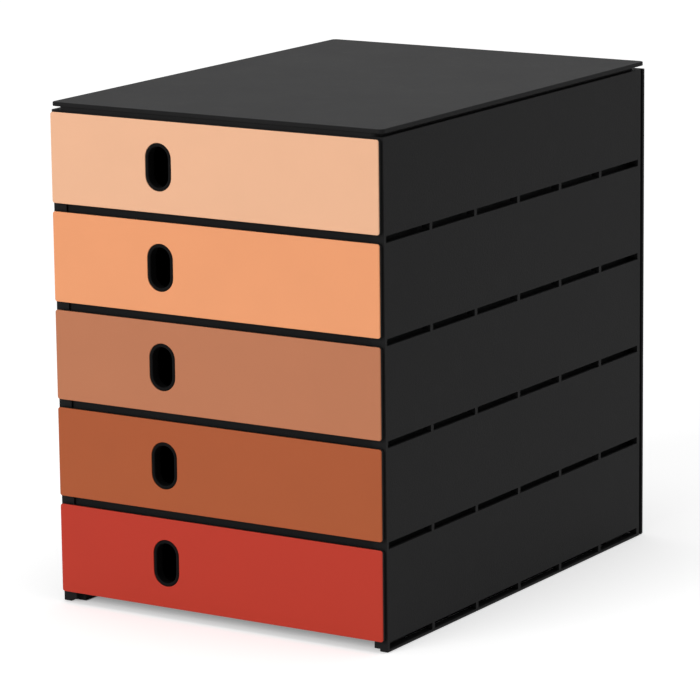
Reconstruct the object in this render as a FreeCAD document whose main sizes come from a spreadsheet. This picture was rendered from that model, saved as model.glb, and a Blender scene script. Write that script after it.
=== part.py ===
import FreeCAD, Part
import Sketcher
import os

# A desk-top box of five wide drawers. The casing is two moulded side panels, a back, a base, four
# shelves and a top deck, and a lid stands on a low riser over the deck. Each drawer is a black tray
# with a thin coloured plate on its front and a pill-shaped finger hole lined by a grip insert.
# Frame: X to the right, -Y to the front, Z up, origin on the floor under the middle of the box.

DRAWER_COUNT = 5
SLOTS_PER_ROW = 6

SIZES = {
    # the whole box
    "overall_width": 243.0,
    "overall_depth": 335.0,
    "overall_height": 323.0,
    # lid and the riser it stands on
    "lid_thickness": 2.7,
    "lid_front_overhang": 1.2,
    "lid_corner_radius": 3.5,
    "lid_edge_radius": 0.6,
    "lid_rim_depth": 1.5,
    "shadow_gap": 2.2,
    "riser_side_inset": 4.5,
    "riser_rear_inset": 6.3,
    "riser_corner_radius": 4.5,
    "riser_wall": 2.0,
    "deck_thickness": 2.2,
    # side panels
    "casing_setback": 3.7,
    "panel_wall": 2.2,
    "panel_ground_gap": 0.4,
    "bridge_ground_gap": 2.0,
    "upright_width": 5.5,
    "upright_thickness": 2.2,
    "flare_width": 9.5,
    "opening_radius": 4.0,
    "bridge_height": 5.2,
    "rail_thickness": 1.5,
    "slot_height": 4.35,
    "slot_drop": 1.1,
    "slot_front_margin": 2.4,
    "slot_rear_margin": 3.5,
    "slot_rib": 3.15,
    # back panel
    "back_thickness": 2.4,
    "back_joint_width": 3.1,
    "back_joint_depth": 1.6,
    "back_rim_width": 2.0,
    # shelves and base
    "shelf_drop": 1.3,
    "shelf_thickness": 1.8,
    "shelf_notch_depth": 6.3,
    "lip_setback": 1.5,
    "lip_thickness": 1.8,
    "base_setback": 6.3,
    "base_rim_thickness": 1.8,
    "base_rim_height": 3.8,
    # strips over the trays' sides
    "tilt_guide_thickness": 1.8,
    "tilt_guide_gap": 0.6,
    # feet
    "foot_width": 5.3,
    "foot_length": 25.0,
    "foot_side_inset": 6.6,
    "foot_rear_inset": 10.0,
    "foot_edge_radius": 0.6,
    # drawer fronts
    "front_side_inset": 1.35,
    "front_gap": 5.4,
    "front_top_drop": 1.1,
    "lowest_front_height": 7.4,
    "front_corner_radius": 1.6,
    "front_plate_thickness": 0.9,
    "front_edge_radius": 0.4,
    "closing_gap": 0.3,
    "finger_hole_from_left": 81.1,
    "finger_hole_width": 19.2,
    "finger_hole_height": 30.2,
    "peg_radius": 1.9,
    "peg_length": 1.8,
    "peg_edge_distance": 12.0,
    # finger grips
    "grip_wall": 2.2,
    "grip_flange_width": 2.2,
    "grip_flange_thickness": 1.2,
    # trays
    "tray_wall": 1.8,
    "tray_floor": 1.8,
    "tray_side_gap": 0.6,
    "tray_rear_gap": 2.0,
    "tray_rim_gap": 3.0,
    "tray_corner_radius": 6.0,
    "tray_bottom_radius": 4.3,
    "stop_nib_length": 8.0,
    "stop_nib_height": 20.0,
    "stop_nib_depth": 2.9,
    "drawer_travel": 240.0,
    # clearances
    "running_gap": 0.3,
    "seat_clearance": 0.1,
}

# Places worked out from the sizes, as expressions on the sheet.
HALF_WIDTH = "(Sizes.overall_width / 2)"
BACK = "(Sizes.overall_depth / 2)"
FACE = "(-Sizes.overall_depth / 2)"
CASING_FRONT = f"({FACE} + Sizes.casing_setback)"
UPRIGHT_BACK = f"({CASING_FRONT} + Sizes.upright_thickness)"
BACK_INSIDE = f"({BACK} - Sizes.back_thickness)"
SIDE_REAR = f"({BACK_INSIDE} - Sizes.back_joint_width)"

SKIN_INSIDE = f"({HALF_WIDTH} - Sizes.panel_wall)"
OPENING_HALF = f"({HALF_WIDTH} - Sizes.upright_width)"
FLARE_HALF = f"({HALF_WIDTH} - Sizes.flare_width)"
SHELF_HALF = f"({SKIN_INSIDE} - Sizes.seat_clearance)"

LID_BOTTOM = "(Sizes.overall_height - Sizes.lid_thickness)"
WALL_TOP = f"({LID_BOTTOM} - Sizes.shadow_gap)"
DECK_BOTTOM = f"({WALL_TOP} - Sizes.deck_thickness)"

FRONT_STACK = f"({WALL_TOP} - Sizes.front_top_drop - Sizes.lowest_front_height)"
FRONT_HEIGHT = f"(({FRONT_STACK} - {DRAWER_COUNT - 1} * Sizes.front_gap) / {DRAWER_COUNT})"
PITCH = f"({FRONT_HEIGHT} + Sizes.front_gap)"
OPENING_HEIGHT = f"({PITCH} - Sizes.bridge_height)"
LOWEST_SHELF_TOP = "(Sizes.lowest_front_height - Sizes.shelf_drop)"
LOWEST_SHELF_BOTTOM = f"({LOWEST_SHELF_TOP} - Sizes.shelf_thickness)"
LOWEST_SLOT_TOP = "(Sizes.lowest_front_height - Sizes.slot_drop)"
LOWEST_SLOT_BOTTOM = f"({LOWEST_SLOT_TOP} - Sizes.slot_height)"

SLOT_ROW = f"({SIDE_REAR} - {CASING_FRONT} - Sizes.slot_front_margin - Sizes.slot_rear_margin)"
SLOT_LENGTH = f"(({SLOT_ROW} - {SLOTS_PER_ROW - 1} * Sizes.slot_rib) / {SLOTS_PER_ROW})"

# The feet stand under the base panel, and its side rims run between them.
BASE_FRONT = f"({CASING_FRONT} + Sizes.base_setback)"
FRONT_FOOT_END = f"({BASE_FRONT} + Sizes.foot_length)"
REAR_FOOT_END = f"({SIDE_REAR} - Sizes.foot_rear_inset)"
REAR_FOOT_START = f"({REAR_FOOT_END} - Sizes.foot_length)"

# A drawer is drawn about the middle of its front's height.
HALF_FRONT = f"({FRONT_HEIGHT} / 2)"
FRONT_HALF_WIDTH = f"({HALF_WIDTH} - Sizes.front_side_inset)"
TRAY_FRONT = f"({CASING_FRONT} - Sizes.closing_gap)"
BOARD_FRONT = f"({FACE} + Sizes.front_plate_thickness)"
TRAY_REAR = f"({SIDE_REAR} - Sizes.tray_rear_gap)"
TRAY_HALF = f"({OPENING_HALF} - Sizes.tray_side_gap)"
TRAY_BOTTOM = f"(Sizes.running_gap - Sizes.shelf_drop - {HALF_FRONT})"
TRAY_RIM = f"({OPENING_HEIGHT} - Sizes.shelf_drop - Sizes.tray_rim_gap - {HALF_FRONT})"
TILT_GUIDE_DROP = "(Sizes.tray_rim_gap - Sizes.tilt_guide_gap)"
STOP_FRONT = f"({UPRIGHT_BACK} + Sizes.drawer_travel + Sizes.running_gap)"
HOLE_X = f"(Sizes.finger_hole_from_left - {FRONT_HALF_WIDTH})"
HOLE_RADIUS = "(Sizes.finger_hole_width / 2)"
HOLE_REACH = "(Sizes.finger_hole_height / 2 - Sizes.finger_hole_width / 2)"

POINT_TOLERANCE = 0.01


def size_sheet(doc):
    """Puts every driving size into the sheet, one row each, with its name as the alias."""
    sheet = doc.addObject("Spreadsheet::Sheet", "Sizes")
    for row, (name, value) in enumerate(SIZES.items(), start=1):
        sheet.set(f"A{row}", name)
        sheet.set(f"B{row}", str(value))
        sheet.setAlias(f"B{row}", name)
    doc.recompute()
    return sheet


def value_of(owner, expression):
    """The number that an expression on the sheet has now."""
    return float(owner.Document.getObject("Sizes").evalExpression(expression))


def new_body(doc, label):
    body = doc.addObject("PartDesign::Body", label)
    body.Label = label
    return body


def origin_feature(body, role):
    for feature in body.Origin.OriginFeatures:
        if feature.Role == role:
            return feature
    raise RuntimeError(f"{body.Label} has no {role}")


def new_sketch(body, name, role, offset):
    sketch = body.newObject("Sketcher::SketchObject", name)
    sketch.AttachmentSupport = (origin_feature(body, role), [""])
    sketch.MapMode = "FlatFace"
    sketch.setExpression("AttachmentOffset.Base.z", offset)
    return sketch


def sketch_facing_front(body, name, y_place):
    """A sketch in an upright plane across the box: its x is X and its y is Z."""
    return new_sketch(body, name, "XZ_Plane", f"-({y_place})")


def sketch_facing_side(body, name, x_place):
    """A sketch in an upright plane along the box: its x is Y and its y is Z."""
    return new_sketch(body, name, "YZ_Plane", x_place)


def sketch_from_above(body, name, z_place):
    """A level sketch: its x is X and its y is Y."""
    return new_sketch(body, name, "XY_Plane", z_place)


def bound(sketch, kind, *places, expression):
    """Adds a dimension to the sketch and binds it to an expression on the sheet."""
    index = sketch.addConstraint(Sketcher.Constraint(kind, *places, value_of(sketch, expression)))
    sketch.setExpression(f"Constraints[{index}]", expression)


def line(x_from, y_from, x_to, y_to):
    return Part.LineSegment(FreeCAD.Vector(x_from, y_from, 0), FreeCAD.Vector(x_to, y_to, 0))


def arc(x_centre, y_centre, radius, degrees_from, degrees_to):
    circle = Part.Circle(FreeCAD.Vector(x_centre, y_centre, 0), FreeCAD.Vector(0, 0, 1), radius)
    start = FreeCAD.Units.Quantity(f"{degrees_from} deg").getValueAs("rad").Value
    end = FreeCAD.Units.Quantity(f"{degrees_to} deg").getValueAs("rad").Value
    return Part.ArcOfCircle(circle, start, end)


def bind_outer_lines(sketch, bottom, right, top, left, places):
    """Holds the four sides of a rectangle at their distances from the sketch's origin."""
    x_low, y_low, x_high, y_high = places
    for index in (bottom, top):
        sketch.addConstraint(Sketcher.Constraint("Horizontal", index))
    for index in (right, left):
        sketch.addConstraint(Sketcher.Constraint("Vertical", index))
    bound(sketch, "DistanceY", -1, 1, bottom, 1, expression=y_low)
    bound(sketch, "DistanceX", -1, 1, right, 1, expression=x_high)
    bound(sketch, "DistanceY", -1, 1, top, 1, expression=y_high)
    bound(sketch, "DistanceX", -1, 1, left, 1, expression=x_low)


def rectangle(sketch, x_low, y_low, x_high, y_high):
    x0, y0, x1, y1 = [value_of(sketch, place) for place in (x_low, y_low, x_high, y_high)]
    sides = [
        line(x0, y0, x1, y0),
        line(x1, y0, x1, y1),
        line(x1, y1, x0, y1),
        line(x0, y1, x0, y0),
    ]
    added = list(sketch.addGeometry(sides))
    for index, following in zip(added, added[1:] + added[:1]):
        sketch.addConstraint(Sketcher.Constraint("Coincident", index, 2, following, 1))
    bind_outer_lines(sketch, *added, (x_low, y_low, x_high, y_high))


def rounded_rectangle(sketch, x_low, y_low, x_high, y_high, radius):
    x0, y0, x1, y1 = [value_of(sketch, place) for place in (x_low, y_low, x_high, y_high)]
    r = value_of(sketch, radius)
    outline = [
        line(x0 + r, y0, x1 - r, y0),
        arc(x1 - r, y0 + r, r, -90, 0),
        line(x1, y0 + r, x1, y1 - r),
        arc(x1 - r, y1 - r, r, 0, 90),
        line(x1 - r, y1, x0 + r, y1),
        arc(x0 + r, y1 - r, r, 90, 180),
        line(x0, y1 - r, x0, y0 + r),
        arc(x0 + r, y0 + r, r, 180, 270),
    ]
    added = list(sketch.addGeometry(outline))
    for index, following in zip(added, added[1:] + added[:1]):
        sketch.addConstraint(Sketcher.Constraint("Tangent", index, 2, following, 1))
    bottom, first_arc, right, second_arc, top, third_arc, left, fourth_arc = added
    for index in (second_arc, third_arc, fourth_arc):
        sketch.addConstraint(Sketcher.Constraint("Equal", first_arc, index))
    bound(sketch, "Radius", first_arc, expression=radius)
    bind_outer_lines(sketch, bottom, right, top, left, (x_low, y_low, x_high, y_high))


def pill(sketch, radius, reach):
    """An upright pill about the finger hole's place: reach is from its middle to each arc's centre."""
    x, r, reach_now = [value_of(sketch, place) for place in (HOLE_X, radius, reach)]
    outline = [
        arc(x, reach_now, r, 0, 180),
        line(x - r, reach_now, x - r, -reach_now),
        arc(x, -reach_now, r, 180, 360),
        line(x + r, -reach_now, x + r, reach_now),
    ]
    added = list(sketch.addGeometry(outline))
    for index, following in zip(added, added[1:] + added[:1]):
        sketch.addConstraint(Sketcher.Constraint("Tangent", index, 2, following, 1))
    upper, _, lower, _ = added
    sketch.addConstraint(Sketcher.Constraint("Equal", upper, lower))
    sketch.addConstraint(Sketcher.Constraint("Vertical", upper, 3, lower, 3))
    bound(sketch, "Radius", upper, expression=radius)
    bound(sketch, "DistanceX", -1, 1, upper, 3, expression=HOLE_X)
    bound(sketch, "DistanceY", -1, 1, upper, 3, expression=reach)
    bound(sketch, "DistanceY", lower, 3, -1, 1, expression=reach)


def round_spot(sketch, x_place, y_place, radius):
    centre = FreeCAD.Vector(value_of(sketch, x_place), value_of(sketch, y_place), 0)
    circle = Part.Circle(centre, FreeCAD.Vector(0, 0, 1), value_of(sketch, radius))
    index = sketch.addGeometry(circle)
    bound(sketch, "Radius", index, expression=radius)
    bound(sketch, "DistanceX", -1, 1, index, 3, expression=x_place)
    bound(sketch, "DistanceY", -1, 1, index, 3, expression=y_place)


def pad(body, name, sketch, length, backwards=False):
    """Adds material along the sketch's normal, which is -Y, +X or +Z, or the other way."""
    feature = body.newObject("PartDesign::Pad", name)
    feature.Profile = sketch
    feature.setExpression("Length", length)
    feature.Reversed = backwards
    body.Document.recompute()
    return feature


def pocket(body, name, sketch, length, backwards=False):
    """Removes material against the sketch's normal, so towards +Y, -X or -Z, or the other way."""
    before = body.Shape.Volume
    feature = body.newObject("PartDesign::Pocket", name)
    feature.Profile = sketch
    feature.setExpression("Length", length)
    feature.Reversed = backwards
    body.Document.recompute()
    if body.Shape.Volume >= before:
        raise RuntimeError(f"{body.Label}: {name} removes nothing")
    return feature


def upward_row(body, name, original):
    """Repeats a feature once for every drawer, one pitch apart."""
    pattern = body.newObject("PartDesign::LinearPattern", name)
    pattern.Originals = [original]
    pattern.Direction = (origin_feature(body, "Z_Axis"), [""])
    pattern.setExpression("Length", f"{PITCH} * {DRAWER_COUNT - 1}")
    pattern.Occurrences = DRAWER_COUNT
    body.Tip = pattern
    body.Document.recompute()
    return pattern


def round_edges(body, name, radius, wanted):
    """Rounds the edges of the body so far that the test wanted picks out."""
    base = body.Tip
    names = [f"Edge{i}" for i, edge in enumerate(base.Shape.Edges, start=1) if wanted(edge)]
    if not names:
        raise RuntimeError(f"{body.Label}: {name} finds no edge")
    fillet = body.newObject("PartDesign::Fillet", name)
    fillet.Base = (base, names)
    fillet.setExpression("Radius", radius)
    body.Document.recompute()
    return fillet


def lies_at(edge, axis, place):
    """Whether the whole edge lies in the plane where that coordinate is place."""
    low = getattr(edge.BoundBox, f"{axis}Min")
    high = getattr(edge.BoundBox, f"{axis}Max")
    return abs(low - place) < POINT_TOLERANCE and abs(high - place) < POINT_TOLERANCE


def mirrored_span(side, inner, outer):
    """Lowest and highest X of something between inner and outer on the right (1) or left (-1)."""
    if side > 0:
        return inner, outer
    return f"(-{outer})", f"(-{inner})"


def slot_start(number):
    return f"({CASING_FRONT} + Sizes.slot_front_margin + {number} * ({SLOT_LENGTH} + Sizes.slot_rib))"


def side_panel(doc, label, side):
    """A moulded wall: outer skin, front upright with drawer openings, shelf rails, rows of slots."""
    body = new_body(doc, label)

    x_low, _ = mirrored_span(side, SKIN_INSIDE, HALF_WIDTH)
    skin = sketch_facing_side(body, "skin_outline", x_low)
    rectangle(skin, CASING_FRONT, "Sizes.panel_ground_gap", SIDE_REAR, WALL_TOP)
    pad(body, "skin", skin, "Sizes.panel_wall")

    x_low, x_high = mirrored_span(side, FLARE_HALF, SKIN_INSIDE)
    upright = sketch_facing_front(body, "upright_outline", CASING_FRONT)
    rectangle(upright, x_low, "Sizes.panel_ground_gap", x_high, WALL_TOP)
    pad(body, "upright", upright, "Sizes.upright_thickness", backwards=True)

    past_flare = f"({FLARE_HALF} - 2 * Sizes.opening_radius)"
    x_low, x_high = mirrored_span(side, past_flare, OPENING_HALF)
    opening = sketch_facing_front(body, "opening_outline", CASING_FRONT)
    opening_top = f"({LOWEST_SHELF_TOP} + {OPENING_HEIGHT})"
    rounded_rectangle(opening, x_low, LOWEST_SHELF_TOP, x_high, opening_top, "Sizes.opening_radius")
    cut = pocket(body, "opening", opening, "Sizes.upright_thickness")
    upward_row(body, "openings", cut)

    arch = sketch_facing_front(body, "arch_outline", CASING_FRONT)
    rectangle(arch, x_low, "(-Sizes.bridge_ground_gap)", x_high, "Sizes.bridge_ground_gap")
    pocket(body, "arch", arch, "Sizes.upright_thickness")

    x_low, _ = mirrored_span(side, OPENING_HALF, SKIN_INSIDE)
    rail_depth = "(Sizes.upright_width - Sizes.panel_wall)"
    rail = sketch_facing_side(body, "rail_outline", x_low)
    rail_bottom = f"({LOWEST_SHELF_BOTTOM} - Sizes.rail_thickness)"
    rectangle(rail, UPRIGHT_BACK, rail_bottom, SIDE_REAR, LOWEST_SHELF_BOTTOM)
    lowest_rail = pad(body, "rail", rail, rail_depth)
    upward_row(body, "rails", lowest_rail)
    deck_rail = sketch_facing_side(body, "deck_rail_outline", x_low)
    rectangle(deck_rail, UPRIGHT_BACK, f"({DECK_BOTTOM} - Sizes.rail_thickness)", SIDE_REAR, DECK_BOTTOM)
    pad(body, "deck_rail", deck_rail, rail_depth)
    ground_rail = sketch_facing_side(body, "ground_rail_outline", x_low)
    rectangle(ground_rail, UPRIGHT_BACK, "Sizes.panel_ground_gap", SIDE_REAR, LOWEST_SLOT_BOTTOM)
    pad(body, "ground_rail", ground_rail, rail_depth)

    x_low, _ = mirrored_span(side, OPENING_HALF, HALF_WIDTH)
    slots = sketch_facing_side(body, "slot_outlines", x_low)
    for number in range(SLOTS_PER_ROW):
        start = slot_start(number)
        rectangle(slots, start, LOWEST_SLOT_BOTTOM, f"({start} + {SLOT_LENGTH})", LOWEST_SLOT_TOP)
    row = pocket(body, "slot_row", slots, "Sizes.upright_width", backwards=True)
    upward_row(body, "slot_rows", row)
    return body


def back_panel(doc):
    """A flat back with a rim that meets the side panels' rear ends inside their outer faces."""
    body = new_body(doc, "back_panel")
    plate = sketch_facing_front(body, "plate_outline", BACK_INSIDE)
    rectangle(plate, f"(-{HALF_WIDTH})", "Sizes.panel_ground_gap", HALF_WIDTH, WALL_TOP)
    pad(body, "plate", plate, "Sizes.back_thickness", backwards=True)

    rim_half = f"({HALF_WIDTH} - Sizes.back_joint_depth)"
    rim_bottom = "(Sizes.panel_ground_gap + Sizes.back_joint_depth)"
    rim_top = f"({DECK_BOTTOM} - Sizes.seat_clearance)"
    width = "Sizes.back_rim_width"
    rim = sketch_facing_front(body, "rim_outline", BACK_INSIDE)
    rectangle(rim, f"(-{rim_half})", rim_bottom, rim_half, rim_top)
    rectangle(
        rim,
        f"({width} - {rim_half})",
        f"({rim_bottom} + {width})",
        f"({rim_half} - {width})",
        f"({rim_top} - {width})",
    )
    pad(body, "rim", rim, "Sizes.back_joint_width")
    return body


def top_deck(doc):
    """The casing's own top, between the side panels, with a raised ring for the lid to stand on."""
    body = new_body(doc, "top_deck")
    plate = sketch_from_above(body, "plate_outline", DECK_BOTTOM)
    rectangle(plate, f"(-{SHELF_HALF})", f"({UPRIGHT_BACK} + Sizes.seat_clearance)", SHELF_HALF, BACK_INSIDE)
    pad(body, "plate", plate, "Sizes.deck_thickness")

    nose_half = f"({FLARE_HALF} - Sizes.seat_clearance)"
    nose = sketch_from_above(body, "nose_outline", DECK_BOTTOM)
    rectangle(nose, f"(-{nose_half})", CASING_FRONT, nose_half, f"({UPRIGHT_BACK} + Sizes.riser_wall)")
    pad(body, "nose", nose, "Sizes.deck_thickness")

    ring = sketch_from_above(body, "riser_outline", WALL_TOP)
    rounded_rectangle(ring, *riser_outline("0"), "Sizes.riser_corner_radius")
    inner_radius = "(Sizes.riser_corner_radius - Sizes.riser_wall)"
    rounded_rectangle(ring, *riser_outline("Sizes.riser_wall"), inner_radius)
    pad(body, "riser", ring, "Sizes.shadow_gap")
    return body


def riser_outline(inset):
    """The riser ring's four sides in plan, drawn in by an inset."""
    half = f"({HALF_WIDTH} - Sizes.riser_side_inset - {inset})"
    rear = f"({BACK} - Sizes.riser_rear_inset - {inset})"
    return f"(-{half})", f"({CASING_FRONT} + {inset})", half, rear


def lid(doc):
    """A thin plate with rounded corners, and a rim under it that drops inside the riser."""
    body = new_body(doc, "lid")
    plate = sketch_from_above(body, "plate_outline", LID_BOTTOM)
    lid_front = f"({CASING_FRONT} - Sizes.lid_front_overhang)"
    rounded_rectangle(plate, f"(-{HALF_WIDTH})", lid_front, HALF_WIDTH, BACK, "Sizes.lid_corner_radius")
    pad(body, "plate", plate, "Sizes.lid_thickness")

    top = value_of(body, "Sizes.overall_height")
    round_edges(body, "top_edge", "Sizes.lid_edge_radius", lambda edge: lies_at(edge, "Z", top))

    outside = "(Sizes.riser_wall + Sizes.seat_clearance)"
    inside = f"({outside} + Sizes.riser_wall)"
    rim = sketch_from_above(body, "rim_outline", LID_BOTTOM)
    rounded_rectangle(rim, *riser_outline(outside), f"(Sizes.riser_corner_radius - {outside})")
    rounded_rectangle(rim, *riser_outline(inside), f"(Sizes.riser_corner_radius - {inside})")
    pad(body, "rim", rim, "Sizes.lid_rim_depth", backwards=True)
    return body


def notched_plate(doc, label, front):
    """A shelf's plate: it lies on the side panels' rails and is cut back behind each slot."""
    body = new_body(doc, label)
    plate = sketch_from_above(body, "plate_outline", LOWEST_SHELF_BOTTOM)
    rear = f"({SIDE_REAR} - Sizes.seat_clearance)"
    rectangle(plate, f"(-{SHELF_HALF})", front, SHELF_HALF, rear)
    pad(body, "plate", plate, "Sizes.shelf_thickness")
    for side, name in ((1, "right"), (-1, "left")):
        past_edge = f"({SHELF_HALF} + Sizes.panel_wall)"
        notch_inside = f"({SHELF_HALF} - Sizes.shelf_notch_depth)"
        x_low, x_high = mirrored_span(side, notch_inside, past_edge)
        notches = sketch_from_above(body, f"{name}_notch_outlines", LOWEST_SHELF_TOP)
        for number in range(SLOTS_PER_ROW):
            start = slot_start(number)
            rectangle(notches, x_low, start, x_high, f"({start} + {SLOT_LENGTH})")
        pocket(body, f"{name}_notches", notches, "Sizes.shelf_thickness")
    return body


def base_panel(doc):
    """The plate under the lowest drawer, set back behind its front, with rims behind the slots."""
    body = notched_plate(doc, "base_panel", BASE_FRONT)
    rim_outside = f"({SHELF_HALF} - Sizes.shelf_notch_depth)"
    rim_inside = f"({rim_outside} - Sizes.base_rim_thickness)"
    runs = (
        (f"({FRONT_FOOT_END} + Sizes.seat_clearance)", f"({REAR_FOOT_START} - Sizes.seat_clearance)"),
        (f"({REAR_FOOT_END} + Sizes.seat_clearance)", f"({SIDE_REAR} - Sizes.seat_clearance)"),
    )
    rims = sketch_from_above(body, "rim_outlines", LOWEST_SHELF_BOTTOM)
    for side in (1, -1):
        x_low, x_high = mirrored_span(side, rim_inside, rim_outside)
        for start, end in runs:
            rectangle(rims, x_low, start, x_high, end)
    pad(body, "rims", rims, "Sizes.base_rim_height", backwards=True)
    return body


def shelf(doc, number):
    """A plate between two drawers, with a lip across the gap between their fronts."""
    body = notched_plate(doc, f"shelf_{number}", f"({UPRIGHT_BACK} + Sizes.seat_clearance)")
    lip_half = f"({FLARE_HALF} - Sizes.seat_clearance)"
    lip_front = f"({CASING_FRONT} + Sizes.lip_setback)"
    lip = sketch_from_above(body, "lip_outline", LOWEST_SHELF_TOP)
    rectangle(lip, f"(-{lip_half})", lip_front, lip_half, f"({lip_front} + Sizes.lip_thickness)")
    pad(body, "lip", lip, "Sizes.bridge_height", backwards=True)
    body.setExpression("Placement.Base.z", f"{PITCH} * {DRAWER_COUNT - number}")
    doc.recompute()
    return body


def tilt_guide(doc, number, side, side_name):
    """A strip glued over a tray's side. It stops an open tray from tipping, and closes the slots' view."""
    body = new_body(doc, f"tilt_guide_{number}_{side_name}")
    outside = f"({SHELF_HALF} - Sizes.shelf_notch_depth)"
    x_low, x_high = mirrored_span(side, f"({outside} - Sizes.tilt_guide_thickness)", outside)
    under_deck = number == 1
    top = DECK_BOTTOM if under_deck else LOWEST_SHELF_BOTTOM
    strip = sketch_from_above(body, "strip_outline", top)
    y_low, y_high = f"({UPRIGHT_BACK} + Sizes.seat_clearance)", f"({SIDE_REAR} - Sizes.seat_clearance)"
    rectangle(strip, x_low, y_low, x_high, y_high)
    if under_deck:
        pad(body, "strip", strip, TILT_GUIDE_DROP, backwards=True)
    else:
        below_shelf = "(Sizes.bridge_height - Sizes.shelf_thickness)"
        pad(body, "strip", strip, f"({below_shelf} + {TILT_GUIDE_DROP})", backwards=True)
        body.setExpression("Placement.Base.z", f"{PITCH} * {DRAWER_COUNT + 1 - number}")
    doc.recompute()
    return body


def foot(doc, label, side, front):
    """A soft strip under the base panel, just inside an upright or near the back."""
    body = new_body(doc, label)
    outer = f"({HALF_WIDTH} - Sizes.foot_side_inset)"
    x_low, x_high = mirrored_span(side, f"({outer} - Sizes.foot_width)", outer)
    y_low, y_high = (BASE_FRONT, FRONT_FOOT_END) if front else (REAR_FOOT_START, REAR_FOOT_END)
    strip = sketch_from_above(body, "strip_outline", LOWEST_SHELF_BOTTOM)
    rectangle(strip, x_low, y_low, x_high, y_high)
    pad(body, "strip", strip, LOWEST_SHELF_BOTTOM, backwards=True)
    round_edges(body, "tread_edge", "Sizes.foot_edge_radius", lambda edge: lies_at(edge, "Z", 0))
    return body


def drawer_place(number):
    """Height of the middle of a drawer's front: drawer 1 is at the top."""
    return f"Sizes.lowest_front_height + {HALF_FRONT} + {PITCH} * {DRAWER_COUNT - number}"


def front_outline(sketch):
    """The outline shared by a drawer's coloured plate and the board behind it."""
    width, height = FRONT_HALF_WIDTH, HALF_FRONT
    rounded_rectangle(sketch, f"(-{width})", f"(-{height})", width, height, "Sizes.front_corner_radius")


def peg_spots(sketch, radius):
    """Four pegs, or their holes, near the corners of a drawer's front."""
    x_place = f"({TRAY_HALF} - Sizes.peg_edge_distance)"
    z_place = f"({HALF_FRONT} - Sizes.peg_edge_distance)"
    for x in (x_place, f"(-{x_place})"):
        for z in (z_place, f"(-{z_place})"):
            round_spot(sketch, x, z, radius)


def drawer_tray(doc, number):
    """An open moulded tray with a board across its front, a finger hole and two pull-out stops."""
    body = new_body(doc, f"drawer_tray_{number}")

    shell = sketch_from_above(body, "shell_outline", TRAY_BOTTOM)
    radius = "Sizes.tray_corner_radius"
    rounded_rectangle(shell, f"(-{TRAY_HALF})", TRAY_FRONT, TRAY_HALF, TRAY_REAR, radius)
    pad(body, "shell", shell, f"{TRAY_RIM} - {TRAY_BOTTOM}")
    bottom = value_of(body, TRAY_BOTTOM)
    round_edges(body, "bottom_edge", "Sizes.tray_bottom_radius", lambda edge: lies_at(edge, "Z", bottom))

    inside_half = f"({TRAY_HALF} - Sizes.tray_wall)"
    inside_front = f"({TRAY_FRONT} + Sizes.tray_wall)"
    inside_rear = f"({TRAY_REAR} - Sizes.tray_wall)"
    inner_radius = "(Sizes.tray_corner_radius - Sizes.tray_wall)"
    floor_top = f"({TRAY_BOTTOM} + Sizes.tray_floor)"
    hollow = sketch_from_above(body, "hollow_outline", TRAY_RIM)
    rounded_rectangle(hollow, f"(-{inside_half})", inside_front, inside_half, inside_rear, inner_radius)
    pocket(body, "hollow", hollow, f"{TRAY_RIM} - {floor_top}")
    floor = value_of(body, floor_top)
    inner_bottom = "(Sizes.tray_bottom_radius - Sizes.tray_wall)"
    round_edges(body, "floor_edge", inner_bottom, lambda edge: lies_at(edge, "Z", floor))

    board = sketch_facing_front(body, "board_outline", TRAY_FRONT)
    front_outline(board)
    pad(body, "board", board, f"{TRAY_FRONT} - {BOARD_FRONT}")

    hole = sketch_facing_front(body, "finger_hole_outline", BOARD_FRONT)
    pill(hole, HOLE_RADIUS, HOLE_REACH)
    pocket(body, "finger_hole", hole, f"{inside_front} - {BOARD_FRONT} + Sizes.tray_wall")

    pegs = sketch_facing_front(body, "peg_hole_outlines", BOARD_FRONT)
    peg_spots(pegs, "(Sizes.peg_radius + Sizes.seat_clearance)")
    pocket(body, "peg_holes", pegs, "Sizes.peg_length + Sizes.seat_clearance")

    for side, name in ((1, "right"), (-1, "left")):
        nib_outside = f"({TRAY_HALF} + Sizes.stop_nib_depth)"
        x_low, _ = mirrored_span(side, TRAY_HALF, nib_outside)
        nib = sketch_facing_side(body, f"{name}_stop_outline", x_low)
        half_height = "(Sizes.stop_nib_height / 2)"
        stop_rear = f"({STOP_FRONT} + Sizes.stop_nib_length)"
        rectangle(nib, STOP_FRONT, f"(-{half_height})", stop_rear, half_height)
        pad(body, f"{name}_stop", nib, "Sizes.stop_nib_depth")

    body.setExpression("Placement.Base.z", drawer_place(number))
    doc.recompute()
    return body


def drawer_front(doc, number):
    """The thin coloured plate, held on the tray's board by four pegs."""
    body = new_body(doc, f"drawer_front_{number}")
    plate = sketch_facing_front(body, "plate_outline", BOARD_FRONT)
    front_outline(plate)
    pill(plate, HOLE_RADIUS, HOLE_REACH)
    pad(body, "plate", plate, "Sizes.front_plate_thickness")

    face = value_of(body, FACE)
    round_edges(body, "face_edge", "Sizes.front_edge_radius", lambda edge: lies_at(edge, "Y", face))

    pegs = sketch_facing_front(body, "peg_outlines", BOARD_FRONT)
    peg_spots(pegs, "Sizes.peg_radius")
    pad(body, "pegs", pegs, "Sizes.peg_length", backwards=True)

    body.setExpression("Placement.Base.z", drawer_place(number))
    doc.recompute()
    return body


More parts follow.
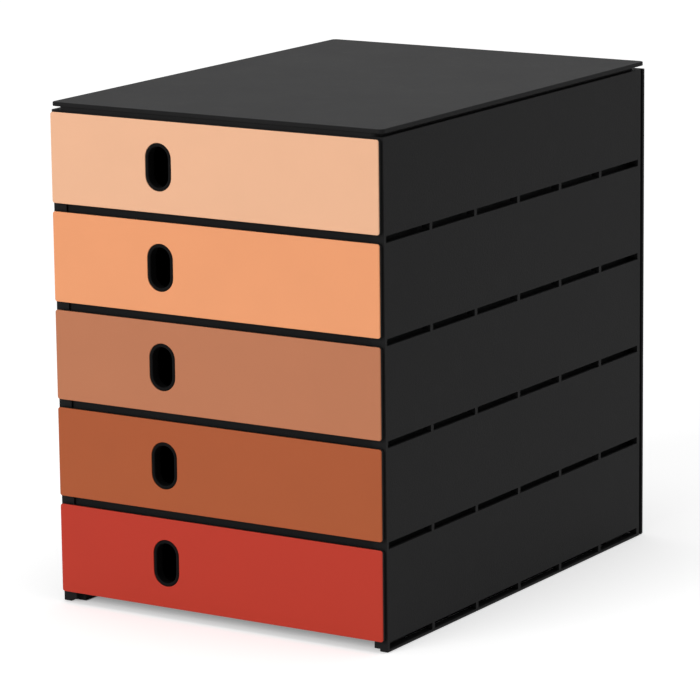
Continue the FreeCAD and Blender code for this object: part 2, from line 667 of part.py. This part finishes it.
def finger_grip(doc, number):
    """A pill-shaped sleeve through the drawer's front, with a flange against the tray's inside."""
    body = new_body(doc, f"finger_grip_{number}")
    outer = f"({HOLE_RADIUS} - Sizes.seat_clearance)"
    inner = f"({outer} - Sizes.grip_wall)"
    inside_front = f"({TRAY_FRONT} + Sizes.tray_wall)"

    sleeve = sketch_facing_front(body, "sleeve_outline", inside_front)
    pill(sleeve, outer, HOLE_REACH)
    pill(sleeve, inner, HOLE_REACH)
    pad(body, "sleeve", sleeve, f"{inside_front} - {FACE}")

    flange = sketch_facing_front(body, "flange_outline", inside_front)
    pill(flange, f"({HOLE_RADIUS} + Sizes.grip_flange_width)", HOLE_REACH)
    pill(flange, inner, HOLE_REACH)
    pad(body, "flange", flange, "Sizes.grip_flange_thickness", backwards=True)

    face = value_of(body, FACE)
    rounding = "(Sizes.grip_wall / 3)"
    round_edges(body, "mouth_edge", rounding, lambda edge: lies_at(edge, "Y", face))

    body.setExpression("Placement.Base.z", drawer_place(number))
    doc.recompute()
    return body


def build_all(doc):
    parts = [
        side_panel(doc, "left_side_panel", -1),
        side_panel(doc, "right_side_panel", 1),
        back_panel(doc),
        base_panel(doc),
        top_deck(doc),
        lid(doc),
    ]
    for number in range(1, DRAWER_COUNT):
        parts.append(shelf(doc, number))
    for side, side_name in ((-1, "left"), (1, "right")):
        for number in range(1, DRAWER_COUNT + 1):
            parts.append(tilt_guide(doc, number, side, side_name))
        parts.append(foot(doc, f"foot_front_{side_name}", side, front=True))
        parts.append(foot(doc, f"foot_rear_{side_name}", side, front=False))
    for number in range(1, DRAWER_COUNT + 1):
        parts.append(drawer_tray(doc, number))
        parts.append(drawer_front(doc, number))
        parts.append(finger_grip(doc, number))
    return parts


def check_and_write(doc, parts):
    """Stops on any failed feature or unsound solid, then writes each sub-part to its own file."""
    doc.recompute()
    for thing in doc.Objects:
        if "Invalid" in thing.State or "Error" in thing.State:
            raise RuntimeError(f"{thing.Label} failed to build")
    for part in parts:
        if part.Shape.isNull() or not part.Shape.isValid() or len(part.Shape.Solids) != 1:
            raise RuntimeError(f"{part.Label} isn't one sound solid")
    os.makedirs("parts", exist_ok=True)
    for part in parts:
        part.Shape.exportStep(os.path.join("parts", part.Label + ".step"))
        box = part.Shape.BoundBox
        print(
            f"{part.Label:20s} volume {part.Shape.Volume:10.1f}"
            f"  x {box.XMin:8.2f} {box.XMax:8.2f}"
            f"  y {box.YMin:8.2f} {box.YMax:8.2f}"
            f"  z {box.ZMin:8.2f} {box.ZMax:8.2f}"
        )


document = FreeCAD.newDocument("drawer_box")
size_sheet(document)
check_and_write(document, build_all(document))
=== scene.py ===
import math

import bpy
from mathutils import Matrix, Vector


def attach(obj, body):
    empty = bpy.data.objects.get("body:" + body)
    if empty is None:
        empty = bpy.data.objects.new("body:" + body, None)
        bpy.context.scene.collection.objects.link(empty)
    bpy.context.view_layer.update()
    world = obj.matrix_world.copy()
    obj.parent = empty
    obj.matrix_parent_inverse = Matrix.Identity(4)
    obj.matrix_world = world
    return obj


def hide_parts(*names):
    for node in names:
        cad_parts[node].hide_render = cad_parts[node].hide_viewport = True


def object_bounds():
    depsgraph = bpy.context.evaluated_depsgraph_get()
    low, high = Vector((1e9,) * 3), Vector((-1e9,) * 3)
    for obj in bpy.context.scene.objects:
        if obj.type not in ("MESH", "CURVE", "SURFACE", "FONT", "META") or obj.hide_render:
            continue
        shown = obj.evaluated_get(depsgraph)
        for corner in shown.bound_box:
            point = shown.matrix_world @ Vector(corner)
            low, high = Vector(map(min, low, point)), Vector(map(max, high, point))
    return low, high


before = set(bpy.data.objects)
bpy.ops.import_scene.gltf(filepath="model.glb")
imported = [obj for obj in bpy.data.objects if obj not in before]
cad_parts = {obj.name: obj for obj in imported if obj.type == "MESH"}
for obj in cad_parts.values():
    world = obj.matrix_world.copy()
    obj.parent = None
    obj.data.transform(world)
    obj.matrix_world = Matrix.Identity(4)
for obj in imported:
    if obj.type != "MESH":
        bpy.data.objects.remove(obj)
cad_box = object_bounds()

# The two side panels are injection moulded in black polystyrene against a finely spark-eroded mould,
# which leaves an even, dull grain. Each comes out with its front upright, its shelf rails and its rows
# of slots in one piece. The moulded corners are a little round, so they catch a thin line of light.

POLYMER_IOR = 1.5
BLACK_TONE = 0.0105
DARKEST = (0.8, 0.8, 0.82)
LIGHTEST = (1.2, 1.2, 1.24)
GRAIN_SIZE = 0.0009
GRAIN_DEPTH = 0.00013
GRAIN_STRENGTH = 0.8
GRAIN_ROUGHNESS = 0.05
PIT_SPACING = 1.6
FLOW_SIZE = 0.045
FLOW_ROUGHNESS = 0.03
RUBBED_SIZE = 0.012
RUBBED_SHARE = (0.55, 0.8)
RUBBED_ROUGHNESS = 0.025
MOST_OF_NOISE = (0.3, 0.7)

MOULDED_EDGE = 0.0003
MOULDED_EDGE_STEPS = 3
SHARP_ANGLE = math.radians(40.0)
FLAT_ANGLE = math.radians(1.0)
FLAT_FACE_WEIGHT = 100
SAME_PLACE = 1e-6


class Signal:
    """One output of a material's nodes. Sums and products add Math nodes, and | takes the larger of two."""

    def __init__(self, tree, socket):
        self.tree = tree
        self.socket = socket

    def node(self, kind, settings=None, inputs=None, output=0):
        """Adds a node: its settings first, then the value or the link of each input named."""
        made = self.tree.nodes.new(kind)
        for name, value in (settings or {}).items():
            setattr(made, name, value)
        for name, value in (inputs or {}).items():
            if isinstance(value, Signal):
                self.tree.links.new(value.socket, made.inputs[name])
            else:
                made.inputs[name].default_value = value
        return Signal(self.tree, made.outputs[output])

    def maths(self, operation, first, second):
        return self.node("ShaderNodeMath", {"operation": operation}, {0: first, 1: second})

    def __add__(self, other):
        return self.maths("ADD", self, other)

    __radd__ = __add__

    def __sub__(self, other):
        return self.maths("SUBTRACT", self, other)

    def __rsub__(self, other):
        return self.maths("SUBTRACT", other, self)

    def __mul__(self, other):
        return self.maths("MULTIPLY", self, other)

    __rmul__ = __mul__

    def __or__(self, other):
        return self.maths("MAXIMUM", self, other)

    def noise(self, size, detail=2.0, roughness=0.5):
        """Noise read at this place, with blotches about that many metres across."""
        inputs = {"Vector": self, "Scale": 1.0 / size, "Detail": detail, "Roughness": roughness}
        return self.node("ShaderNodeTexNoise", None, inputs)

    def pits(self, size):
        """Distance from the nearest of many scattered points, that far apart."""
        inputs = {"Vector": self, "Scale": 1.0 / size}
        return self.node("ShaderNodeTexVoronoi", {"feature": "F1"}, inputs)

    def between(self, low, high):
        """This signal, cut off below low and above high and stretched to run from 0 to 1."""
        inputs = {"Value": self, "From Min": low, "From Max": high}
        return self.node("ShaderNodeMapRange", {"clamp": True}, inputs)

    def blend(self, dark, light):
        """A colour that goes from dark to light as this signal goes from 0 to 1."""
        inputs = {"Factor": self, 6: (*dark, 1.0), 7: (*light, 1.0)}
        return self.node("ShaderNodeMix", {"data_type": "RGBA"}, inputs, output=2)

    def relief(self, depth, strength):
        """A bump that is depth metres deep where this signal is 1."""
        inputs = {"Height": self, "Distance": depth, "Strength": strength}
        return self.node("ShaderNodeBump", None, inputs)


def new_finish(name, gloss):
    """A new material and its shader, with the gloss that is the same all over, and the place read."""
    material = bpy.data.materials.new(name)
    material.use_nodes = True
    shader = material.node_tree.nodes["Principled BSDF"]
    for socket, value in gloss.items():
        shader.inputs[socket].default_value = value
    coordinates = material.node_tree.nodes.new("ShaderNodeTexCoord")
    return material, shader, Signal(material.node_tree, coordinates.outputs["Object"])


def coat(shader, **channels):
    """Links each signal to the shader's input of that name."""
    for socket, signal in channels.items():
        signal.tree.links.new(signal.socket, shader.inputs[socket.replace("_", " ")])


def grained_black(name, tone, roughness, specular, grain_size, grain_depth):
    """Black plastic with a spark-eroded grain, cloudy flow marks and faint rubbed patches."""
    material, shader, place = new_finish(name, {"Specular IOR Level": specular, "IOR": POLYMER_IOR})
    grain = place.noise(grain_size, detail=3.0, roughness=0.6)
    pits = place.pits(grain_size * PIT_SPACING)
    flow = place.noise(FLOW_SIZE, detail=3.0)
    rubbed = place.noise(RUBBED_SIZE, detail=4.0).between(*RUBBED_SHARE)
    shade = (grain * 0.5 + flow * 0.5).between(*MOST_OF_NOISE)
    dark = [tone * share for share in DARKEST]
    light = [tone * share for share in LIGHTEST]
    matt = roughness - FLOW_ROUGHNESS + flow.between(*MOST_OF_NOISE) * FLOW_ROUGHNESS
    matt = matt + grain * GRAIN_ROUGHNESS - rubbed * RUBBED_ROUGHNESS
    coat(
        shader,
        Base_Color=shade.blend(dark, light),
        Roughness=matt,
        Normal=(grain * 0.6 + pits * 0.4).relief(grain_depth, GRAIN_STRENGTH),
    )
    return material


def with_moulded_edges(node, body, finish):
    """A copy of a CAD node that has its corners rounded as a mould rounds them."""
    bpy.ops.object.select_all(action="DESELECT")
    copy = bpy.data.objects.new(f"{node}_moulded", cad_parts[node].data.copy())
    bpy.context.scene.collection.objects.link(copy)
    bpy.context.view_layer.objects.active = copy
    copy.select_set(True)
    bpy.ops.object.mode_set(mode="EDIT")
    bpy.ops.mesh.select_all(action="SELECT")
    bpy.ops.mesh.remove_doubles(threshold=SAME_PLACE)
    bpy.ops.mesh.dissolve_limited(angle_limit=FLAT_ANGLE)
    bpy.ops.object.mode_set(mode="OBJECT")
    bpy.ops.object.shade_smooth()
    rounding = copy.modifiers.new("rounding", "BEVEL")
    rounding.width = MOULDED_EDGE
    rounding.segments = MOULDED_EDGE_STEPS
    rounding.limit_method = "ANGLE"
    rounding.angle_limit = SHARP_ANGLE
    rounding.use_clamp_overlap = True
    bpy.ops.object.modifier_apply(modifier=rounding.name)
    flatness = copy.modifiers.new("flatness", "WEIGHTED_NORMAL")
    flatness.weight = FLAT_FACE_WEIGHT
    bpy.ops.object.modifier_apply(modifier=flatness.name)
    copy.data.materials.clear()
    copy.data.materials.append(finish)
    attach(copy, body)
    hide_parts(node)


casing_grain = grained_black("casing_grain", BLACK_TONE, 0.55, 0.06, GRAIN_SIZE, GRAIN_DEPTH)
for node in ("left_side_panel", "right_side_panel"):
    with_moulded_edges(node, "casing", casing_grain)


# A small upright web stands on each panel's ground rail, behind the front end of its lowest slot. It is
# moulded with the panel, stiffens the foot of the upright, and keeps light out from under the base.

WEB_LOW = Vector((0.1161, -0.1617, 0.0018))
WEB_HIGH = Vector((0.117, -0.155, 0.0063))
WEB_CHAMFER = 0.0012
WEB_ROUNDING = 0.0001

web_middle = (WEB_LOW + WEB_HIGH) / 2
for side_name, side in (("left", -1), ("right", 1)):
    bpy.ops.object.select_all(action="DESELECT")
    bpy.ops.mesh.primitive_cube_add(
        size=1.0,
        location=(side * web_middle.x, web_middle.y, web_middle.z),
        scale=WEB_HIGH - WEB_LOW,
    )
    web = bpy.context.active_object
    web.name = f"upright_web_{side_name}"
    bpy.ops.object.transform_apply(location=True, rotation=True, scale=True)
    bpy.ops.object.mode_set(mode="EDIT")
    bpy.ops.mesh.select_mode(type="EDGE")
    bpy.ops.mesh.select_all(action="DESELECT")
    bpy.ops.object.mode_set(mode="OBJECT")
    for edge in web.data.edges:
        ends = [web.data.vertices[index].co for index in edge.vertices]
        edge.select = all(end.y > web_middle.y and end.z > web_middle.z for end in ends)
    bpy.ops.object.mode_set(mode="EDIT")
    bpy.ops.mesh.bevel(offset=WEB_CHAMFER, segments=1)
    bpy.ops.mesh.select_all(action="SELECT")
    bpy.ops.mesh.bevel(offset=WEB_ROUNDING, segments=2)
    bpy.ops.object.mode_set(mode="OBJECT")
    bpy.ops.object.shade_flat()
    web.data.materials.append(casing_grain)
    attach(web, "casing")


# The back, the base, the four shelves and the top deck are pressed into the side panels, and a strip is
# glued over each side of every tray. They are the same black polystyrene. Only the back's edge, the
# shelves' lips and the deck's low riser show.

inner_pieces = ["back_panel", "base_panel", "top_deck", "shelf_1", "shelf_2", "shelf_3", "shelf_4"]
inner_pieces += [f"tilt_guide_{number}_{side}" for number in range(1, 6) for side in ("left", "right")]
for node in inner_pieces:
    with_moulded_edges(node, "casing", casing_grain)


# The lid is a flat plate with rounded corners that drops on to the riser. It has the same grain, and
# its broad top is seen at a low angle, where the dull plastic reflects the most.

lid_grain = grained_black("lid_grain", BLACK_TONE, 0.6, 0.061, GRAIN_SIZE, GRAIN_DEPTH)
with_moulded_edges("lid", "casing", lid_grain)


# Four soft strips are glued under the base panel, one near each corner, so that the box doesn't slide.
# They are matt black rubber, cut from a sheet, with a fine speckle and a little dust on them.

SPECKLE_SIZE = 0.0009
SPECKLE_DEPTH = 0.00006
SPECKLE_ROUGHNESS = 0.15
DUST_SIZE = 0.006
DUSTY_SHARE = (0.5, 0.8)
SOFT_SPECULAR = 0.2
SOFT_RELIEF = 0.6
RUBBER_ROUGHNESS = 0.8
CLEAN_RUBBER = (0.006, 0.006, 0.006)
DUSTY_RUBBER = (0.02, 0.02, 0.019)

soft_gloss = {"Specular IOR Level": SOFT_SPECULAR, "IOR": POLYMER_IOR}
foot_rubber, shader, place = new_finish("foot_rubber", soft_gloss)
speckle = place.noise(SPECKLE_SIZE, detail=4.0)
dust = place.noise(DUST_SIZE).between(*DUSTY_SHARE)
coat(
    shader,
    Base_Color=(speckle * 0.6 + dust * 0.4).blend(CLEAN_RUBBER, DUSTY_RUBBER),
    Roughness=RUBBER_ROUGHNESS + speckle * SPECKLE_ROUGHNESS,
    Normal=speckle.relief(SPECKLE_DEPTH, SOFT_RELIEF),
)
for node in ("foot_front_left", "foot_front_right", "foot_rear_left", "foot_rear_right"):
    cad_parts[node].data.materials.clear()
    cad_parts[node].data.materials.append(foot_rubber)


# Each tray is one moulding in black polystyrene, smoother than the casing, with the board that backs
# its coloured front. The pull-out stops and the finger hole are moulded with it.

tray_grain = grained_black("tray_grain", BLACK_TONE, 0.5, 0.08, GRAIN_SIZE * 0.7, GRAIN_DEPTH * 0.6)
for number in range(1, 6):
    with_moulded_edges(f"drawer_tray_{number}", f"drawer_{number}", tray_grain)


# The coloured fronts are thin plates of polystyrene, dyed right through, in peach, orange, tan, rust
# and red from the top down. Their faces are satin smooth, and four pegs hold each to its tray.

FRONT_COLOURS = {
    1: ("peach", (0.8225, 0.4561, 0.2783)),
    2: ("orange", (0.8225, 0.3317, 0.1513)),
    3: ("tan", (0.4792, 0.177, 0.0854)),
    4: ("rust", (0.3865, 0.0894, 0.0264)),
    5: ("red", (0.4732, 0.034, 0.016)),
}
DARKER_DYE = 0.975
LIGHTER_DYE = 1.02
PIGMENT_SIZE = 0.0004
DYE_FLOW_SIZE = 0.035
DYE_FLOW_SHARE = (0.25, 0.75)
PEEL_SIZE = 0.0011
PEEL_DEPTH = 0.00004
SATIN_ROUGHNESS = 0.42
SATIN_SPREAD = 0.05


def satin_front(name, colour):
    """Dyed plastic with cloudy flow marks too faint to see as a pattern, and a very fine orange peel."""
    material, shader, place = new_finish(name, soft_gloss)
    peel = place.noise(PEEL_SIZE)
    flow = place.noise(DYE_FLOW_SIZE, detail=3.0).between(*DYE_FLOW_SHARE)
    pigment = place.noise(PIGMENT_SIZE, detail=1.0)
    dark = [channel * DARKER_DYE for channel in colour]
    light = [channel * LIGHTER_DYE for channel in colour]
    coat(
        shader,
        Base_Color=(flow * 0.6 + pigment * 0.4).blend(dark, light),
        Roughness=SATIN_ROUGHNESS + flow * SATIN_SPREAD + peel * SATIN_SPREAD,
        Normal=peel.relief(PEEL_DEPTH, SOFT_RELIEF),
    )
    return material


for number, (name, colour) in FRONT_COLOURS.items():
    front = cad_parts[f"drawer_front_{number}"]
    front.data.materials.clear()
    front.data.materials.append(satin_front(f"front_{name}", colour))


# The finger hole in each front is lined by an upright pill-shaped sleeve in smooth black plastic. It
# is pushed in from inside the tray until its flange meets the tray's front wall.

GRIP_TONE = 0.0048

grip_gloss = grained_black("grip_gloss", GRIP_TONE, 0.45, 0.03, GRAIN_SIZE * 0.6, GRAIN_DEPTH * 0.4)
for number in range(1, 6):
    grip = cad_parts[f"finger_grip_{number}"]
    grip.data.materials.clear()
    grip.data.materials.append(grip_gloss)


# The box stands on a pale floor that shows white to the camera and in reflections, but keeps the box's soft
# shadow. The floor under the box doesn't glow, except near the front, where it fades out: this is a painted
# shadow cut to the box's outline, laid over the real shade that falls there.

FLOOR_REACH = 12.0
GLOW_NEAR = 0.45
GLOW_FAR = 1.0
NEAR_FLOOR = 1.2
FAR_FLOOR = 6.0
HALF_WIDTH = cad_box[1].x
HALF_DEPTH = cad_box[1].y
UNDER_WALL = 0.001
UNDER_WALL_EDGE = 0.0005
UNDER_FRONT = 0.045
FEET_SETBACK = 0.0095
BETWEEN_FEET = 0.109

bpy.ops.object.select_all(action="DESELECT")
bpy.ops.mesh.primitive_plane_add(size=2 * FLOOR_REACH, location=(0.0, 0.0, 0.0))
floor = bpy.context.active_object
floor.name = "floor"
bpy.ops.object.transform_apply(location=True, rotation=True, scale=True)


def seen_light(tree):
    """1 for what the camera sees straight, in a gloss or through glass, and 0 for light on its way."""
    rays = tree.nodes.new("ShaderNodeLightPath")
    seen = Signal(tree, rays.outputs["Is Camera Ray"])
    for kind in ("Is Glossy Ray", "Is Transmission Ray"):
        seen = seen | Signal(tree, rays.outputs[kind])
    return seen


pale_matt = {
    "Base Color": (0.8, 0.8, 0.8, 1.0),
    "Roughness": 0.9,
    "Specular IOR Level": 0.0,
    "Emission Color": (1.0, 1.0, 1.0, 1.0),
}
floor_paint, shader, place = new_finish("floor_paint", pale_matt)
distance = place.node("ShaderNodeVectorMath", {"operation": "LENGTH"}, {0: place}, output=1)
level = GLOW_NEAR + distance.between(NEAR_FLOOR, FAR_FLOOR) * (GLOW_FAR - GLOW_NEAR)
sideways = place.node("ShaderNodeSeparateXYZ", None, {0: place})
across = sideways.maths("ABSOLUTE", sideways, 0.0)
back = place.node("ShaderNodeSeparateXYZ", None, {0: place}, output=1)
forward = -HALF_DEPTH - back
# Painted shadow: the glow stops just inside the box's sides and back, and under the front it fades out over
# 45 mm, ahead of and between the feet.
beside = (across - HALF_WIDTH).between(-UNDER_WALL, -UNDER_WALL_EDGE)
behind = (back - HALF_DEPTH).between(-UNDER_WALL, -UNDER_WALL_EDGE)
before_feet = forward.between(-FEET_SETBACK - UNDER_WALL_EDGE, -FEET_SETBACK)
between_feet = (BETWEEN_FEET - across).between(0.0, UNDER_WALL)
under_front = forward.between(-UNDER_FRONT, 0.0) * (before_feet | between_feet)
glow_outside_painted_shadow = beside | behind | under_front
coat(shader, Emission_Strength=seen_light(place.tree) * glow_outside_painted_shadow * level)
floor.data.materials.append(floor_paint)


# Plain soft light: an even sky, which shows white to the camera and in reflections, a wide lamp in front
# and a weaker one above.

SKY_LEVEL = 0.36
LAMP_AIM = Vector((0.0, 0.0, 0.16))
LAMPS = {
    "front_lamp": {"place": Vector((-0.9, -3.4, 1.5)), "size": 2.2, "power": 74},
    "top_lamp": {"place": Vector((0.2, 0.2, 3.2)), "size": 2.4, "power": 40},
}

world = bpy.data.worlds.new("studio")
bpy.context.scene.world = world
world.use_nodes = True
tree = world.node_tree
sky = tree.nodes["Background"]
sky.inputs["Color"].default_value = (1.0, 1.0, 1.0, 1.0)
brightness = SKY_LEVEL + seen_light(tree) * (1.0 - SKY_LEVEL)
tree.links.new(brightness.socket, sky.inputs["Strength"])

for name, settings in LAMPS.items():
    lamp_data = bpy.data.lights.new(name, "AREA")
    lamp_data.shape = "SQUARE"
    lamp_data.size = settings["size"]
    lamp_data.energy = settings["power"]
    lamp = bpy.data.objects.new(name, lamp_data)
    bpy.context.scene.collection.objects.link(lamp)
    lamp.location = settings["place"]
    lamp.rotation_mode = "QUATERNION"
    lamp.rotation_quaternion = (LAMP_AIM - settings["place"]).to_track_quat("-Z", "Y")


# The camera stands to the right of the front and looks a little down on the box. It is far off and has a
# long lens, so the box's edges stay nearly parallel.

CAMERA_PLACE = Vector((1.35879, -2.17540, 0.69142))
CAMERA_YAW = 32.105
CAMERA_PITCH = 12.0
CAMERA_ROLL = -0.642
CAMERA_LENS = 206.84
CAMERA_SENSOR = 36.0
CAMERA_NEAR = 0.1
CAMERA_FAR = 60.0

camera_data = bpy.data.cameras.new("camera")
camera_data.lens = CAMERA_LENS
camera_data.sensor_width = CAMERA_SENSOR
camera_data.clip_start = CAMERA_NEAR
camera_data.clip_end = CAMERA_FAR
camera = bpy.data.objects.new("camera", camera_data)
bpy.context.scene.collection.objects.link(camera)
turn = (
    Matrix.Rotation(math.radians(CAMERA_YAW), 4, "Z")
    @ Matrix.Rotation(math.radians(90.0 - CAMERA_PITCH), 4, "X")
    @ Matrix.Rotation(math.radians(CAMERA_ROLL), 4, "Z")
)
camera.matrix_world = Matrix.Translation(CAMERA_PLACE) @ turn
bpy.context.scene.camera = camera

bpy.context.scene.view_settings.view_transform = "Standard"
